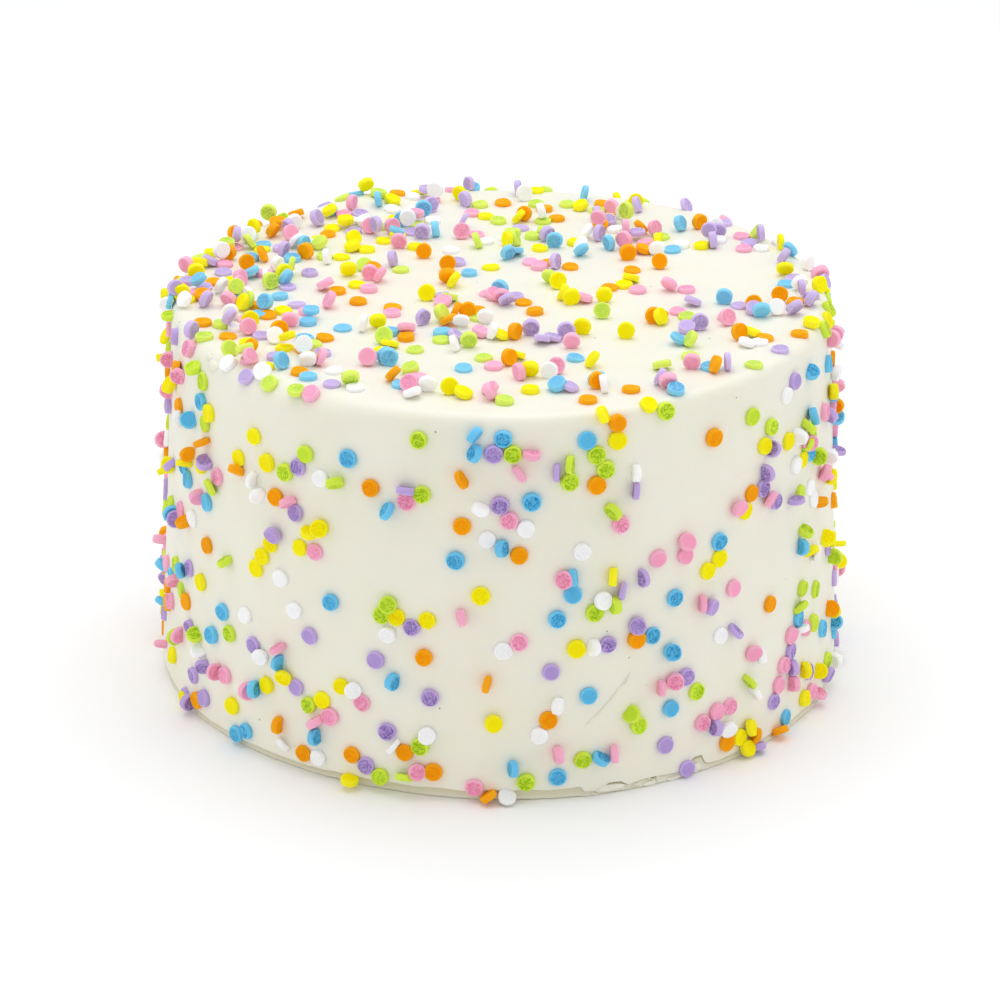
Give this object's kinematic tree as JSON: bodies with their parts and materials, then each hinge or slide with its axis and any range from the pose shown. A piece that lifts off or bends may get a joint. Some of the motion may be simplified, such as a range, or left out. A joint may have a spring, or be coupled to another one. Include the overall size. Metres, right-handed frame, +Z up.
{
  "type": "cake",
  "caption": "Round layer cake in smooth white buttercream, scattered all over with pastel confetti disc sprinkles.",
  "frame": {"origin": "middle of the cake's flat underside", "axes": "+Z up through the middle of the cake, -Y towards the side that the picture shows, +X to its right"},
  "size_m": [0.2288, 0.2286, 0.1296],
  "materials": {
    "buttercream": "soft matt buttercream, smoothed with a scraper",
    "sprinkle_pink": "matt pressed sugar",
    "sprinkle_yellow": "matt pressed sugar",
    "sprinkle_purple": "matt pressed sugar",
    "sprinkle_green": "matt pressed sugar",
    "sprinkle_blue": "matt pressed sugar",
    "sprinkle_white": "matt pressed sugar",
    "sprinkle_orange": "matt pressed sugar"
  },
  "bodies": {
    "root": {"cake": "buttercream"}
  },
  "joints": []
}
